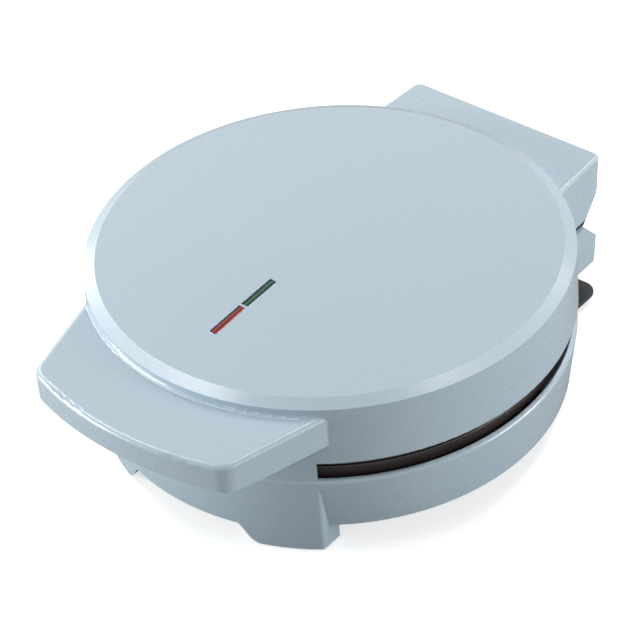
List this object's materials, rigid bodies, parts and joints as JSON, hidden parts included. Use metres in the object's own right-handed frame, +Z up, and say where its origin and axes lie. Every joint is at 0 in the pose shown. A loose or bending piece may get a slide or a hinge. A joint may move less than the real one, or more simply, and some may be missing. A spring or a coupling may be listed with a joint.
{
  "type": "mini donut maker",
  "caption": "Countertop cooker with a hinged round lid, a front handle and two plates with ring grooves that bake small donuts.",
  "frame": {"origin": "centre of the bounding box's bottom face, level with the foot pads' undersides", "axes": "+Z up, -Y towards the handle, +X to the right as seen from the handle"},
  "size_m": [0.216, 0.273, 0.0854],
  "materials": {
    "housing_plastic": "pale blue moulded plastic with a satin gloss",
    "hinge_plastic": "black moulded plastic",
    "nonstick_plate": "cast aluminium under a dark non-stick coat",
    "reflector_aluminium": "bright pressed sheet",
    "element_steel": "heat-dulled steel tube",
    "bracket_steel": "plain pressed sheet",
    "fastener_steel": "zinc-plated",
    "pin_steel": "ground pin",
    "pad_rubber": "dark grey rubber",
    "bushing_rubber": "black rubber",
    "green_lens": "clear green plastic",
    "red_lens": "clear red plastic",
    "lamp_glass": "clear glass bulb",
    "ceramic": "cream ceramic body",
    "fuse_sleeve": "woven white sleeve",
    "terminal_plastic": "off-white moulded plastic",
    "wire_insulation": "off-white silicone insulation"
  },
  "bodies": {
    "base": {"base_housing": "housing_plastic", "foot_pads": "pad_rubber", "base_rear_cover": "housing_plastic", "base_rear_cover_screws": "fastener_steel", "base_hinge_knuckles": "hinge_plastic", "base_hinge_screws": "fastener_steel", "hinge_pins": "pin_steel", "lower_cooking_plate": "nonstick_plate", "lower_plate_screws": "fastener_steel", "lower_reflector": "reflector_aluminium", "lower_heating_element": "element_steel", "lower_element_supports": "bracket_steel", "thermostat_bracket": "bracket_steel", "bracket_screws": "fastener_steel", "thermostat": "ceramic", "thermal_fuse": "fuse_sleeve", "terminal_block": "terminal_plastic", "terminal_screw": "fastener_steel", "base_wiring": "wire_insulation", "cord_wrap_plate": "hinge_plastic", "wrap_plate_screws": "fastener_steel", "cord_inlet_bushing": "bushing_rubber"},
    "lid": {"lid_shell": "housing_plastic", "handle_cover": "housing_plastic", "handle_cover_screws": "fastener_steel", "ready_lens": "green_lens", "power_lens": "red_lens", "lamp_holder": "terminal_plastic", "lamp_holder_screws": "fastener_steel", "indicator_lamps": "lamp_glass", "lid_rear_cover": "housing_plastic", "lid_rear_cover_screws": "fastener_steel", "lid_hinge_bracket": "hinge_plastic", "lid_hinge_screws": "fastener_steel", "upper_cooking_plate": "nonstick_plate", "upper_plate_screws": "fastener_steel", "upper_reflector": "reflector_aluminium", "upper_heating_element": "element_steel", "upper_element_supports": "bracket_steel", "lid_wiring": "wire_insulation"}
  },
  "joints": [
    {"name": "lid_hinge", "type": "hinge", "parent": "base", "child": "lid", "pos_m": [0, 0.1218, 0.0417], "axis": [-1, 0, 0], "range_deg": [0, 97]}
  ]
}
